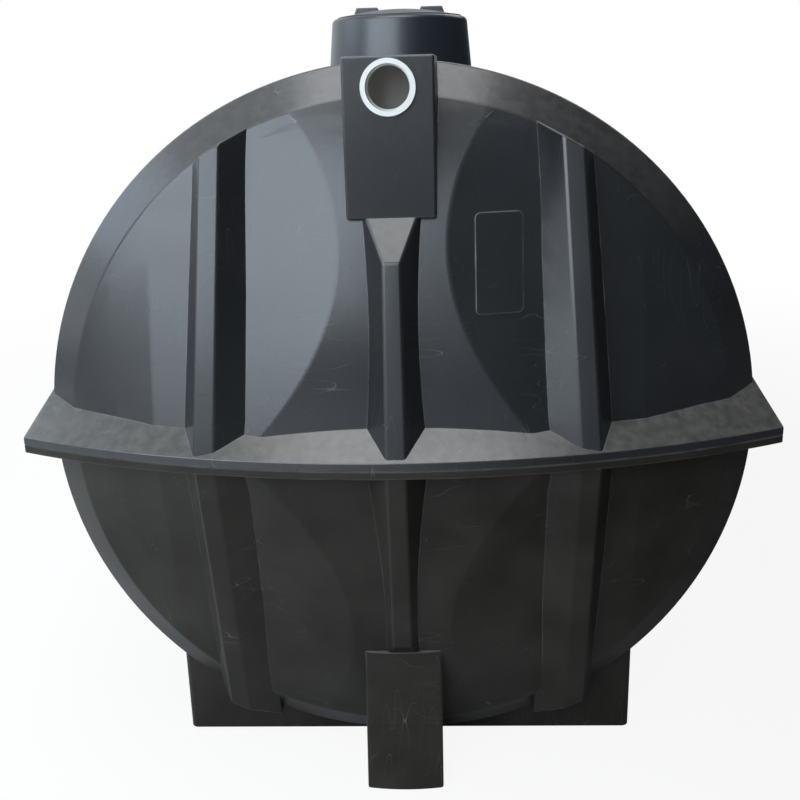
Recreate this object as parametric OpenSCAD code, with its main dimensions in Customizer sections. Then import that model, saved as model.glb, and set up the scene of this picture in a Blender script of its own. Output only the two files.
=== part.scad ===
// Horizontal buried septic tank: two rotomoulded half shells joined on a level flange,
// ribbed and panelled end walls, feet, a neck with a lid, and an inlet and an outlet.
// +Z up, origin on the ground under the middle of the tank, inlet end towards -Y.

/* [Barrel] */
// Radius of the end rings and of the hoops
ring_r = 1000; // [850:10:1200]
// Length of the barrel between its two ring planes
barrel_l = 1780; // [1600:20:2400]
// Space between the ground and the lowest line of the barrel
floor_gap = 25; // [10:5:80]
// Wall thickness of the mouldings
wall = 12; // [8:1:16]
// Depth of the valleys between the hoops
valley_d = 35; // [15:1:50]
// Width of each valley, over its sloping sides
valley_w = 150; // [100:5:180]
// Width of the hoop between two valleys
hoop_w = 180; // [100:5:200]

/* [End walls] */
// Depth of the end wall in front of its ring plane, at the seam
end_d = 278; // [200:1:340]
// Width of the sloping band round the end wall
rim_w = 85; // [50:1:120]
// Depth of the sloping band
rim_d = 75; // [50:1:100]
// Depth of the curved middle panel where it meets the band
panel_edge_d = 75; // [55:1:90]
// Half width of the curved middle panel where it is narrowest
waist = 139; // [120:1:180]
// How far the side panels lean back from upright
batter = 14.5; // [11:0.5:18]
// Angle of the inner side panels to the ring plane, seen from above
inner_turn = 14.5; // [11:0.5:18]
// Angle of the outer side panels to the ring plane, seen from above
outer_turn = 21; // [18:0.5:26]
// Distance from the middle to the fold between the side panels
fold_x = 655; // [600:1:740]

/* [Flange] */
// Distance from the seam to the outer face of each lip
lip_t = 22; // [14:1:30]
// How far the flange reaches beyond the rings on both sides
flange_out = 47; // [30:1:120]
// Depth of the flange edge in front of the ring plane, on the middle line
flange_d = 367; // [355:1:400]
// Radius of the bowed flange edge, seen from above
flange_r = 2350; // [2000:10:3200]
// Rise of the sloping top of the flange at the ends, in degrees
apron_rise = 35.5; // [25:0.5:45]
// Rise of the sloping top of the flange along the sides, in degrees
side_rise = 64; // [50:1:75]
// Height of the sloping top over its lip, at the corners
apron_h = 112; // [80:1:130]

/* [Ribs] */
// Half width of the flat crest of the middle ribs
mid_crest = 25; // [15:1:35]
// Half width of the middle ribs at their foot
mid_foot = 82; // [60:1:100]
// Depth of the upper middle rib where its crest ends
mid_top_d = 280; // [250:1:320]
// Depth of the lower middle rib where its crest ends
mid_low_d = 228; // [215:1:260]
// Height of the bevel that ends the upper middle ribs
mid_bevel = 100; // [60:1:140]
// Distance from the middle to the crest centre of the side ribs, at the flange
side_rib_x = 502; // [460:1:540]
// Distance from the middle to the crest centre of the side ribs, at the band
side_rib_end_x = 458; // [440:1:520]
// Half width of the crest of the side ribs
side_crest = 26; // [15:1:35]
// Width of the inner flanks of the side ribs
side_flank = 88; // [60:1:110]
// Depth of the upper side ribs where they end on the band
side_top_d = 155; // [130:1:180]
// Depth of the lower side ribs where they reach the ring
side_low_d = 100; // [75:1:120]

/* [Feet] */
// Half width of the legs under the end walls
leg_x = 110; // [80:1:150]
// Height of the legs
leg_h = 410; // [360:1:440]
// Depth of the foot of the legs in front of the ring plane
leg_d = 272; // [240:1:330]
// Bow of the leg face
leg_bow = 10; // [4:1:20]
// Half width of the saddles under the barrel
saddle_x = 698; // [600:1:760]
// Length of each saddle along the tank
saddle_l = 300; // [240:5:360]
// Distance of the saddle face behind the ring plane
saddle_back = 38; // [20:1:60]
// Radius of the upright corners of the saddles
saddle_corner = 20; // [5:1:40]

/* [Inlet and outlet] */
// Inner radius of the pipe sockets, for a 110 mm pipe
socket_r = 55.3; // [50:0.1:63]
// Thickness of the socket collar
socket_t = 12; // [6:0.5:14]
// Depth of the inlet socket centre under the top of the pad
socket_drop = 74; // [72:1:100]
// Drop of the outlet under the inlet
outlet_fall = 50; // [25:1:80]
// Half width of the pads at their top
pad_x = 106; // [90:1:130]
// Depth of the pad face in front of the ring plane
pad_d = 205; // [180:1:240]
// Height of the pads
pad_h = 389; // [300:1:420]

/* [Neck and lid] */
// Outer radius of the neck at its foot
neck_r = 243; // [220:1:270]
// Outer radius of the neck under its shoulder
neck_top_r = 226; // [205:1:250]
// Height of the neck over the barrel
neck_h = 155; // [100:1:300]
// Radius of the rounded shoulder of the neck
shoulder = 14; // [8:1:20]
// Radius of the lid
lid_r = 196; // [150:1:200]
// Rise of the domed lid over the neck
lid_rise = 28; // [15:1:50]
// Height of the two lifting lugs over the dome
lug_h = 34; // [31:1:60]

/* [Hidden] */
$fn = 96;

black = "#202224";
white_pvc = "#e8e9e6";
rubber_black = "#141414";
big = 4 * ring_r + 2 * barrel_l;
seam_z = ring_r + floor_gap;
half_l = barrel_l / 2;
rim_in = ring_r - rim_w;
rim_back = 40;
valley_run = 40;
// Plain band between each ring and the first valley
ring_band = 110;
middle_band = barrel_l - 2 * ring_band - 2 * (2 * valley_w + hoop_w);
manhole_r = neck_top_r - wall - shoulder;
flange_x = ring_r + flange_out;
// Angle that each of the six barrel walls covers
sector = 60;

// Radius of the curved middle panel, from its depth at the seam and at the band
dome_sag = end_d - panel_edge_d;
dome_r = (rim_in * rim_in + dome_sag * dome_sag) / (2 * dome_sag);
// Depth at the seam of the crease where the two inner side panels would meet
crease = end_d - dome_r + dome_r / cos(batter) + waist * tan(inner_turn);
// Plan of the side panels at the seam: distance from the middle, depth
panel_plan = [[-ring_r, -ring_r],
              [-ring_r, crease - fold_x * tan(inner_turn) - (ring_r - fold_x) * tan(outer_turn)],
              [-fold_x, crease - fold_x * tan(inner_turn)],
              [0, crease],
              [fold_x, crease - fold_x * tan(inner_turn)],
              [ring_r, crease - fold_x * tan(inner_turn) - (ring_r - fold_x) * tan(outer_turn)],
              [ring_r, -ring_r]];

// Depth of the side panels at a distance x from the middle and a height h from the seam
function side_depth(x, h) = crease - min(x, fold_x) * tan(inner_turn)
    - max(x - fold_x, 0) * tan(outer_turn) - h * tan(batter);
// Depth of the curved middle panel at a height h from the seam
function dome_depth(h) = end_d - dome_r + sqrt(dome_r * dome_r - h * h);
function wall_depth(x, h) = min(side_depth(x, h), dome_depth(h));
// Depth of the bowed flange edge at a distance x from the middle
function edge_depth(x) = flange_d - flange_r + sqrt(flange_r * flange_r - x * x);
// Value at t on the straight line from a to b
function between(a, b, t) = a + (b - a) * t;

// How far the inner wall of the rim reaches back, to meet the deepest part of the side panels
panel_back = max(rim_back, 2 * wall - min([for (a = [0:3:90]) side_depth(rim_in * cos(a), rim_in * sin(a))]));

// Depth behind the ring plane of the roots of the ribs, and how far their feet dive into the wall
rib_root = rim_back - 5;
sunk = 6;
// Side ribs: how much the inner flank narrows from the flange to the band
flank_draft = 24;
// Middle ribs: taper of the crest and the foot, half width where the bevel ends, and the lower bevel
crest_draft = 3;
foot_draft = 10;
mid_end = mid_foot - 16;
mid_end_edge = 2;
low_bevel = 33;
// Height and depth of the leg's top edge, which stands out from the wall as a small ledge
leg_ledge = 10;
leg_top = seam_z - leg_h;
leg_top_d = dome_depth(leg_top) + leg_ledge;

// Pads: rise over the ring, slopes of their sides in plan and in elevation, and their wall
pad_rise = 4;
pad_top = ring_r + pad_rise;
pad_foot = pad_top - pad_h;
pad_draft = 14;
pad_flare = 7;
pad_wall = 10;

// Pipework: wall and clearance of the pipe, length of the sockets and how far they stand out
pipe_t = 3.2;
pipe_gap = 0.3;
pipe_r = socket_r - pipe_gap;
socket_out = 12;
socket_l = 57;
socket_back = pad_d + socket_out - socket_l;
seal_w = 6;
seal_t = 5;
inlet_h = pad_top - socket_drop;
outlet_h = inlet_h - outlet_fall;
// Depth of the upright legs of the bends, and how far they dip below the pipe
tee_d = 95;
tee_drop = 640;

// Lid: how far its edge rests on the neck, its thickness there, its spigot and its lugs
lid_seat = 8;
lid_edge = 4;
lid_gap = 2;
spigot_h = 20;
lug_x = 0.55 * lid_r;
lug_foot = 0.245 * lid_r;
lug_top = 0.18 * lid_r;
lug_t = 60;

// ---- placing: y = -depth in front of the ring plane, z = height from the seam ----

module at_front() translate([0, -half_l, seam_z]) children();
module at_back() mirror([0, 1, 0]) at_front() children();
module lower() mirror([0, 0, 1]) children();
module above_seam() translate([-big / 2, -big / 2, 0]) cube([big, big, big / 2]);
// A cylinder along Y through the barrel axis
module along_y(r, l) rotate([90, 0, 0]) cylinder(r = r, h = l, center = true, $fn = 180);

// ---- outer forms ----

function valley_at(y, r) = [[r, y], [r - valley_d, y + valley_run],
                            [r - valley_d, y + valley_w - valley_run], [r, y + valley_w]];

// Outline of the barrel wall: radius over length, with valleys let in between the hoops
function barrel_line(r, l) =
    let (y1 = middle_band / 2, y2 = y1 + valley_w + hoop_w)
    concat([[r, -l / 2]],
           valley_at(-y2 - valley_w, r), valley_at(-y1 - valley_w, r),
           valley_at(y1, r), valley_at(y2, r),
           [[r, l / 2]]);

// The barrel as one solid, along Y and centred on the seam
module barrel_form(r, l)
    rotate([-90, 0, 0]) rotate_extrude($fn = 180)
        polygon(concat([[0, -l / 2]], barrel_line(r, l), [[0, l / 2]]));

// The cone of the sloping band, carried on over the panels, which never stand out of it
module band_cone() translate([0, ring_r, 0]) rotate([90, 0, 0])
    cylinder(r1 = ring_r + ring_r * rim_w / rim_d, r2 = ring_r - 1.2 * end_d * rim_w / rim_d,
             h = ring_r + 1.2 * end_d, $fn = 180);

// The form of the upper half of an end wall, solid behind its panels
module panel_form() intersection() {
    band_cone();
    translate([0, dome_r - end_d, 0]) rotate([0, 90, 0])
        cylinder(r = dome_r, h = 2 * ring_r, center = true, $fn = 360);
    rotate([-batter, 0, 0]) linear_extrude(4 * ring_r, center = true)
        polygon([for (p = panel_plan) [p[0], -p[1] * cos(batter)]]);
}

// Half section of the rim band, and the full disc behind its outline
rim_fold = [[ring_r, 0], [rim_in, rim_d], [rim_in, -panel_back], [rim_in + wall, -panel_back],
            [rim_in + wall, rim_d - 2 * wall], [ring_r - wall, -wall / 2],
            [ring_r - wall, -rim_back], [ring_r, -rim_back]];
rim_disc = [[0, rim_d], [rim_in, rim_d], [ring_r, 0], [ring_r, -rim_back], [0, -rim_back]];
module rim_turned(section) rotate([90, 0, 0]) rotate_extrude($fn = 180) polygon(section);

// Everything an end wall fills, seen from outside
module end_form() {
    intersection() { panel_form(); along_y(rim_in, big); }
    difference() { rim_turned(rim_disc); along_y(rim_in, big); }
}

// ---- shells ----

// One of the six stretches of the barrel wall, counted from +X towards +Z
module barrel_wall(i) {
    fan = [for (t = [0, 0.5, 1]) 2 * ring_r * [cos((i + t) * sector), sin((i + t) * sector)]];
    translate([0, 0, seam_z]) intersection() {
        difference() {
            barrel_form(ring_r, barrel_l - 2 * rim_back);
            barrel_form(ring_r - wall, barrel_l);
        }
        rotate([90, 0, 0]) linear_extrude(barrel_l, center = true) polygon(concat([[0, 0]], fan));
    }
}

module panel_skin() intersection() {
    difference() { panel_form(); translate([0, wall, 0]) panel_form(); }
    along_y(rim_in, big);
    translate([-ring_r, -end_d, 0]) cube([2 * ring_r, end_d + panel_back, ring_r]);
}

module end_wall() {
    intersection() { rim_turned(rim_fold); above_seam(); }
    panel_skin();
}

// ---- flange ----

module flange_outline() intersection() {
    translate([0, flange_r - flange_d]) circle(r = flange_r, $fn = 720);
    translate([-flange_x, -flange_d]) square([2 * flange_x, flange_d]);
}

// Cross-section of the sloping top, from one side to the other
apron_line = [[-flange_x, lip_t], [flange_x, lip_t],
              [flange_x - apron_h / tan(side_rise), lip_t + apron_h],
              [apron_h / tan(side_rise) - flange_x, lip_t + apron_h]];

module apron_form() intersection() {
    translate([0, flange_r - flange_d, lip_t])
        cylinder(r1 = flange_r, r2 = flange_r - apron_h / tan(apron_rise), h = apron_h, $fn = 720);
    rotate([90, 0, 0]) linear_extrude(flange_d) polygon(apron_line);
}

module upper_flange_end() difference() {
    union() {
        linear_extrude(lip_t) flange_outline();
        difference() {
            apron_form();
            for (s = [0, 1]) mirror([s, 0, 0]) {
                side_rib_form(band_end);
                crest_slot(side_rib_x, side_crest, edge_depth(side_rib_x));
            }
            mid_rib_form(mid_upper);
            crest_slot(0, mid_crest, flange_d);
        }
    }
    end_form();
}

module lower_flange_end() difference() {
    linear_extrude(lip_t) flange_outline();
    end_form();
    lower() end_form();
}

// One long side of the flange, at +X; a sloping top only on the upper one
module flange_side(line) difference() {
    rotate([90, 0, 0]) linear_extrude(barrel_l, center = true) intersection() {
        polygon(line);
        translate([ring_r - 2 * valley_d, 0]) square([ring_r, ring_r]);
    }
    barrel_form(ring_r, barrel_l);
}
lip_line = [[0, 0], [flange_x, 0], [flange_x, lip_t], [0, lip_t]];
upper_side_line = [[0, 0], [flange_x, 0], [flange_x, lip_t],
                   [flange_x - apron_h / tan(side_rise), lip_t + apron_h], [0, lip_t + apron_h]];

// The gap that a rib's crest needs in the lower edge of the sloping top
module crest_slot(x, half, d) translate([x - half, -d - wall, lip_t - 1]) cube([2 * half, 2 * wall, wall]);

// ---- ribs: each is a hull of level sections, cut back to the end wall it stands on ----

// Section at height h: crest from c0 to c1 at depth d, sloping down to a foot from f0 to f1
function foot_y(x, h, d) = min(rib_root - 1, sunk - min(wall_depth(abs(x), h), d));
module rib_section(h, c0, c1, f0, f1, d)
    translate([0, 0, h]) linear_extrude(0.01)
        polygon([[f0, rib_root], [f0, foot_y(f0, h, d)], [c0, -d], [c1, -d],
                 [f1, foot_y(f1, h, d)], [f1, rib_root]]);

// Where a side rib ends, on the band above and on the ring below: its distance from the middle,
// its height, the depth of its crest and the width of its inner flank
band_end = [side_rib_end_x, sqrt(rim_in * rim_in - side_rib_end_x * side_rib_end_x),
            side_top_d, side_flank - flank_draft];
ring_end = [side_rib_x, sqrt(ring_r * ring_r - side_rib_x * side_rib_x), side_low_d, side_flank];

module side_rib_form(end)
    hull() for (h = [0, ring_r]) {
        t = (h - lip_t) / (end[1] - lip_t);
        x = between(side_rib_x, end[0], t);
        rib_section(h, x - side_crest, x + side_crest,
                    x - side_crest - between(side_flank, end[3], t), x + side_crest + side_flank / 2,
                    max(between(edge_depth(side_rib_x), end[2], t), 2));
    }

// The middle ribs narrow a little and end in a bevel that widens to nearly their foot.
// Heights, half widths of crest and foot, and depths of their sections
mid_upper = [[0, mid_crest, mid_foot, flange_d],
             [pad_foot - mid_bevel, mid_crest - crest_draft, mid_foot - foot_draft, mid_top_d],
             [pad_foot, mid_end, mid_end + mid_end_edge, pad_d]];
mid_lower = [[0, mid_crest, mid_foot, flange_d],
             [leg_top - low_bevel, mid_crest, mid_foot - foot_draft, mid_low_d],
             [leg_top, mid_end, mid_end + mid_end_edge, leg_top_d]];
module mid_rib_form(sections)
    hull() for (s = sections) rib_section(s[0], -s[1], s[1], -s[2], s[2], s[3]);

module side_rib_upper() difference() {
    intersection() { side_rib_form(band_end); along_y(rim_in, big); }
    end_form();
    translate([0, 0, -1]) linear_extrude(lip_t + 1) square(big, center = true);
}

module side_rib_lower() difference() {
    intersection() { side_rib_form(ring_end); along_y(ring_r, big); }
    end_form();
    translate([0, 0, -1]) linear_extrude(lip_t + 1) square(big, center = true);
}

module mid_rib(sections) difference() {
    mid_rib_form(sections);
    end_form();
    translate([0, 0, -1]) linear_extrude(lip_t + 1) square(big, center = true);
}

// ---- pads, drawn with the pipe centre at a height pipe_h from the seam ----

// Outline of a pad, grown inwards by t and reaching back to a depth of back
module pad_block(t, back) intersection() {
    translate([0, 0, pad_foot + t]) linear_extrude(pad_h - 2 * t)
        polygon([[-pad_x - pad_flare - pad_draft + t, -back], [-pad_x - pad_flare + t, t - pad_d],
                 [pad_x + pad_flare - t, t - pad_d], [pad_x + pad_flare + pad_draft - t, -back]]);
    rotate([90, 0, 0]) linear_extrude(pad_d)
        polygon([[-pad_x - pad_flare - pad_draft + t, pad_foot], [-pad_x - pad_draft + t, pad_top],
                 [pad_x + pad_draft - t, pad_top], [pad_x + pad_flare + pad_draft - t, pad_foot]]);
}
module pad_hollow() pad_block(pad_wall, 0);
module pipe_hole(h, r, from, to)
    translate([0, -to, h]) rotate([-90, 0, 0]) cylinder(r = r, h = to - from);

module pad(pipe_h) difference() {
    pad_block(0, 0);
    pad_hollow();
    end_form();
    pipe_hole(pipe_h, socket_r + socket_t, 0, pad_d + 1);
}

// ---- pipework ----

// A collar with a stop for the pipe at its back and a groove for the seal near its mouth
module socket(pipe_h) translate([0, 0, pipe_h]) rotate([90, 0, 0]) rotate_extrude() polygon([
    [pipe_r - pipe_t, socket_back], [socket_r + socket_t, socket_back],
    [socket_r + socket_t, pad_d + socket_out], [socket_r, pad_d + socket_out],
    [socket_r, pad_d - seal_w], [socket_r + seal_t, pad_d - seal_w],
    [socket_r + seal_t, pad_d - 2 * seal_w], [socket_r, pad_d - 2 * seal_w],
    [socket_r, socket_back + seal_w], [pipe_r - pipe_t, socket_back + seal_w]]);

module seal(pipe_h) translate([0, 0, pipe_h]) rotate([90, 0, 0]) rotate_extrude()
    translate([socket_r, pad_d - 2 * seal_w]) square([seal_t, seal_w]);

// A bend whose long leg dips into the tank
module tee(pipe_h) translate([0, -tee_d, pipe_h]) difference() {
    union() {
        rotate([90, 0, 0]) cylinder(r = pipe_r, h = socket_back - tee_d);
        translate([0, 0, -tee_drop]) cylinder(r = pipe_r, h = tee_drop + pipe_r);
    }
    rotate([90, 0, 0]) cylinder(r = pipe_r - pipe_t, h = pad_d);
    translate([0, 0, -tee_drop - 1]) cylinder(r = pipe_r - pipe_t, h = tee_drop + 1 + pipe_r - pipe_t);
}

// ---- feet ----

// Drawn upright from the ground, with y = -depth in front of the ring plane
module leg() {
    bow_r = (leg_x * leg_x + leg_bow * leg_bow) / (2 * leg_bow);
    lean = atan((leg_d - leg_top_d) / leg_h);
    difference() {
        intersection() {
            translate([-leg_x, -leg_d, 0]) cube([2 * leg_x, leg_d + saddle_back, leg_h]);
            translate([0, -leg_d, 0]) rotate([-lean, 0, 0]) translate([0, bow_r, -leg_h])
                cylinder(r = bow_r, h = 3 * leg_h, $fn = 360);
        }
        translate([0, 0, seam_z]) lower() end_form();
        translate([0, 0, seam_z]) lower() mid_rib_form(mid_lower);
        translate([0, 0, seam_z]) along_y(ring_r, 2 * rim_back);
    }
}

module saddle() difference() {
    translate([0, saddle_back, 0]) linear_extrude(seam_z / 2) intersection() {
        translate([-saddle_x, 0]) square([2 * saddle_x, saddle_l]);
        hull() for (x = [-1, 1], y = [saddle_corner, saddle_l - saddle_corner])
            translate([x * (saddle_x - saddle_corner), y]) circle(r = saddle_corner);
    }
    translate([0, half_l, seam_z]) barrel_form(ring_r, barrel_l);
}

// ---- neck and lid ----

module neck_form() translate([0, 0, seam_z]) difference() {
    rotate_extrude($fn = 120) {
        top = ring_r + neck_h;
        difference() {
            union() {
                polygon([[manhole_r, 0], [neck_r, 0], [neck_r, ring_r - 2 * wall],
                         [neck_top_r, top - shoulder], [manhole_r, top - shoulder]]);
                translate([manhole_r, top - 2 * shoulder])
                    square([neck_top_r - shoulder - manhole_r, 2 * shoulder]);
                translate([neck_top_r - shoulder, top - shoulder]) circle(r = shoulder, $fn = 32);
            }
            polygon([[0, 0], [neck_r - wall, 0], [neck_r - wall, ring_r - 2 * wall],
                     [neck_top_r - wall, top - 3 * shoulder], [manhole_r, top - 2 * shoulder], [0, top]]);
        }
    }
    barrel_form(ring_r, barrel_l);
}

// A dome on an edge that rests on the neck, with a spigot that drops into it and two lugs
module lid_form() translate([0, 0, seam_z + ring_r + neck_h]) {
    cap = lid_rise - lid_edge;
    dome = (lid_r * lid_r + cap * cap) / (2 * cap);
    cylinder(r = manhole_r + lid_seat, h = lid_edge, $fn = 120);
    rotate_extrude($fn = 120) intersection() {
        translate([0, lid_rise - dome]) circle(r = dome, $fn = 720);
        square([lid_r, lid_rise]);
    }
    translate([0, 0, -spigot_h]) difference() {
        cylinder(r = manhole_r - lid_gap, h = spigot_h + 1, $fn = 120);
        translate([0, 0, -1]) cylinder(r = manhole_r - lid_gap - wall, h = spigot_h + 1, $fn = 120);
    }
    for (s = [-1, 1]) translate([s * lug_x, 0, 0]) rotate([90, 0, 0])
        linear_extrude(lug_t, center = true)
            polygon([[-lug_foot, 0], [-lug_top, lug_h], [lug_top, lug_h], [lug_foot, 0]]);
}

// ---- nodes ----

module upper_shell_left() color(black) barrel_wall(2);
module upper_shell_crown() color(black) difference() {
    barrel_wall(1);
    translate([0, 0, seam_z]) cylinder(r = neck_r - wall, h = 2 * ring_r);
}
module upper_shell_right() color(black) barrel_wall(0);
module lower_shell_left() color(black) barrel_wall(3);
module lower_shell_bottom() color(black) barrel_wall(4);
module lower_shell_right() color(black) barrel_wall(5);
module front_end_upper() color(black) at_front() difference() {
    end_wall();
    pad_hollow();
}
module front_end_lower() color(black) at_front() lower() end_wall();
module back_end_upper() color(black) at_back() difference() {
    end_wall();
    pad_hollow();
}
module back_end_lower() color(black) at_back() lower() end_wall();
module upper_flange_front() color(black) at_front() upper_flange_end();
module upper_flange_back() color(black) at_back() upper_flange_end();
module upper_flange_right() color(black) translate([0, 0, seam_z]) flange_side(upper_side_line);
module upper_flange_left() mirror([1, 0, 0]) upper_flange_right();
module lower_flange_front() color(black) at_front() lower() lower_flange_end();
module lower_flange_back() color(black) at_back() lower() lower_flange_end();
module lower_flange_right() color(black) translate([0, 0, seam_z]) lower() flange_side(lip_line);
module lower_flange_left() mirror([1, 0, 0]) lower_flange_right();
module front_rib_upper_right() color(black) at_front() side_rib_upper();
module front_rib_upper_left() mirror([1, 0, 0]) front_rib_upper_right();
module front_rib_upper_middle() color(black) at_front() mid_rib(mid_upper);
module front_rib_lower_right() color(black) at_front() lower() side_rib_lower();
module front_rib_lower_left() mirror([1, 0, 0]) front_rib_lower_right();
module front_rib_lower_middle() color(black) at_front() lower() mid_rib(mid_lower);
module back_rib_upper_right() mirror([0, 1, 0]) front_rib_upper_right();
module back_rib_upper_left() mirror([0, 1, 0]) front_rib_upper_left();
module back_rib_upper_middle() mirror([0, 1, 0]) front_rib_upper_middle();
module back_rib_lower_right() mirror([0, 1, 0]) front_rib_lower_right();
module back_rib_lower_left() mirror([0, 1, 0]) front_rib_lower_left();
module back_rib_lower_middle() mirror([0, 1, 0]) front_rib_lower_middle();
module inlet_pad() color(black) at_front() pad(inlet_h);
module outlet_pad() color(black) at_back() pad(outlet_h);
module inlet_socket() color(white_pvc) at_front() socket(inlet_h);
module outlet_socket() color(white_pvc) at_back() socket(outlet_h);
module inlet_seal() color(rubber_black) at_front() seal(inlet_h);
module outlet_seal() color(rubber_black) at_back() seal(outlet_h);
module inlet_tee() color(white_pvc) at_front() tee(inlet_h);
module outlet_tee() color(white_pvc) at_back() tee(outlet_h);
module front_leg() color(black) translate([0, -half_l, 0]) leg();
module back_leg() mirror([0, 1, 0]) front_leg();
module front_saddle() color(black) translate([0, -half_l, 0]) saddle();
module back_saddle() mirror([0, 1, 0]) front_saddle();
module neck() color(black) neck_form();
module lid() color(black) lid_form();

upper_shell_left();
upper_shell_crown();
upper_shell_right();
lower_shell_left();
lower_shell_bottom();
lower_shell_right();
front_end_upper();
front_end_lower();
back_end_upper();
back_end_lower();
upper_flange_front();
upper_flange_back();
upper_flange_left();
upper_flange_right();
lower_flange_front();
lower_flange_back();
lower_flange_left();
lower_flange_right();
front_rib_upper_left();
front_rib_upper_middle();
front_rib_upper_right();
front_rib_lower_left();
front_rib_lower_middle();
front_rib_lower_right();
back_rib_upper_left();
back_rib_upper_middle();
back_rib_upper_right();
back_rib_lower_left();
back_rib_lower_middle();
back_rib_lower_right();
inlet_pad();
outlet_pad();
front_leg();
back_leg();
front_saddle();
back_saddle();
neck();
lid();
inlet_socket();
inlet_seal();
inlet_tee();
outlet_socket();
outlet_seal();
outlet_tee();
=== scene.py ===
# %% [markdown]
# # A buried septic tank
# The real tank is two rotomoulded half shells of black polyethylene, joined on a level
# flange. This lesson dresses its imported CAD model: each half is rebuilt as one moulding
# with rounded edges, because plastic that is cast in a hot mould has no sharp edges and no
# joints between its ribs and its wall.

import math

import bmesh
import bpy
from mathutils import Matrix, Vector


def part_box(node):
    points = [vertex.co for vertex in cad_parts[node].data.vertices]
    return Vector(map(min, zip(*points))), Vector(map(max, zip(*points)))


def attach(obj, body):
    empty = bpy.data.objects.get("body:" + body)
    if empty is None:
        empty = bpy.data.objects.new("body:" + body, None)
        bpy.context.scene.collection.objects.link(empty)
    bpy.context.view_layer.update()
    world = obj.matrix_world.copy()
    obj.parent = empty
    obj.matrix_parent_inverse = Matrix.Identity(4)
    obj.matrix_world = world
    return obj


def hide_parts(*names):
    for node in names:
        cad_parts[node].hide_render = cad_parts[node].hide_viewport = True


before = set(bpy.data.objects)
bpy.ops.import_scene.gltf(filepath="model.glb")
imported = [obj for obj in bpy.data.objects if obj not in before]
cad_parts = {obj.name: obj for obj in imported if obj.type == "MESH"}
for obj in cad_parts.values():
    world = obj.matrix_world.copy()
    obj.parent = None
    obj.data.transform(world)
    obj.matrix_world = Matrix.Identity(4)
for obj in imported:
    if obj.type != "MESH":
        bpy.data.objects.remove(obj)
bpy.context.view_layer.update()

# %% [markdown]
# ## Sizes
# Everything is in metres and radians. Where a CAD node's box gives a size, it is read from
# the box. Slopes and the places of ribs are not in any box, so each is written once, where
# it is first needed. An end of the tank is described from its ring plane, the upright plane
# in which the barrel ends: a distance across from the middle, a depth in front of that
# plane, and a height from the seam.

# %% Main sizes
MM = 0.001
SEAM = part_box("front_end_upper")[0].z
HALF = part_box("upper_flange_right")[1].y  # from the middle of the tank to a ring plane
RING_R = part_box("upper_shell_right")[1].x
print(f"seam at {SEAM:.3f}, ring planes at {HALF:.3f}, ring radius {RING_R:.3f}")

# %% [markdown]
# ## Camera
# The camera comes before the object, so that every later look is from the right place. It
# stands at head height a few metres in front of the inlet end, a little to the right, and
# looks down at the flange. Its direction is given by three angles and not by a Track To
# constraint, because it also leans a little, as a hand-held camera does.

# %% Camera
camera = bpy.data.objects.new("camera", bpy.data.cameras.new("camera"))
bpy.context.scene.collection.objects.link(camera)
bpy.context.scene.camera = camera
camera.data.sensor_width, camera.data.lens = 36, 45.89
pitch, yaw, roll = (math.radians(a) for a in (16.9, 2.2, -1.5))
level = math.cos(pitch)
look = Vector((-math.sin(yaw) * level, math.cos(yaw) * level, -math.sin(pitch)))
right = Vector((math.cos(yaw), math.sin(yaw), 0))
up = right.cross(look)
turned_right = math.cos(roll) * right + math.sin(roll) * up
turned_up = math.cos(roll) * up - math.sin(roll) * right
turn = Matrix((turned_right, turned_up, -look)).transposed()
camera.matrix_world = Matrix.Translation((0.1086, -HALF - 2.7766, 1.948)) @ turn.to_4x4()
print("camera at", [round(v, 3) for v in camera.matrix_world.translation])

# %% [markdown]
# ## Floor, world and lamps
# A black part is mostly seen by what it reflects. A broad lamp in front and to the left, and
# smaller ones beside and above it, give its slopes their bluish sheen. The floor's colour is
# painted darker towards the right, a painted shade that sends less light back up on that side,
# so that side stays dark. Light Path tells who is looking: the camera sees a white world and a
# floor that fades to white, and the object keeps its plain light. A few helpers come first,
# because a shader is a tree of many small nodes, and every piece is made from a bmesh.

# %% First helpers
def node(tree, kind, values=None, **settings):
    """A node with its settings; values holds plain numbers and sockets to link from."""
    made = tree.nodes.new(f"ShaderNode{kind}")
    for key, value in settings.items():
        setattr(made, key, value)
    for key, value in (values or {}).items():
        if isinstance(value, bpy.types.NodeSocket):
            tree.links.new(value, made.inputs[key])
        else:
            made.inputs[key].default_value = value
    return made


def maths(tree, operation, a, b=0.0, c=0.0):
    return node(tree, "Math", {0: a, 1: b, 2: c}, operation=operation).outputs[0]


def ranged(tree, value, low, high, to_low=0.0, to_high=1.0, **settings):
    """value, from low to high, spread over to_low to to_high and held there."""
    ends = {"From Min": low, "From Max": high, "To Min": to_low, "To Max": to_high}
    return node(tree, "MapRange", {"Value": value, **ends}, **settings).outputs["Result"]


def keep(bm, name):
    """Turns a bmesh into an object at the origin."""
    mesh = bpy.data.meshes.new(name)
    bm.to_mesh(mesh)
    bm.free()
    obj = bpy.data.objects.new(name, mesh)
    bpy.context.scene.collection.objects.link(obj)
    return obj


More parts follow.
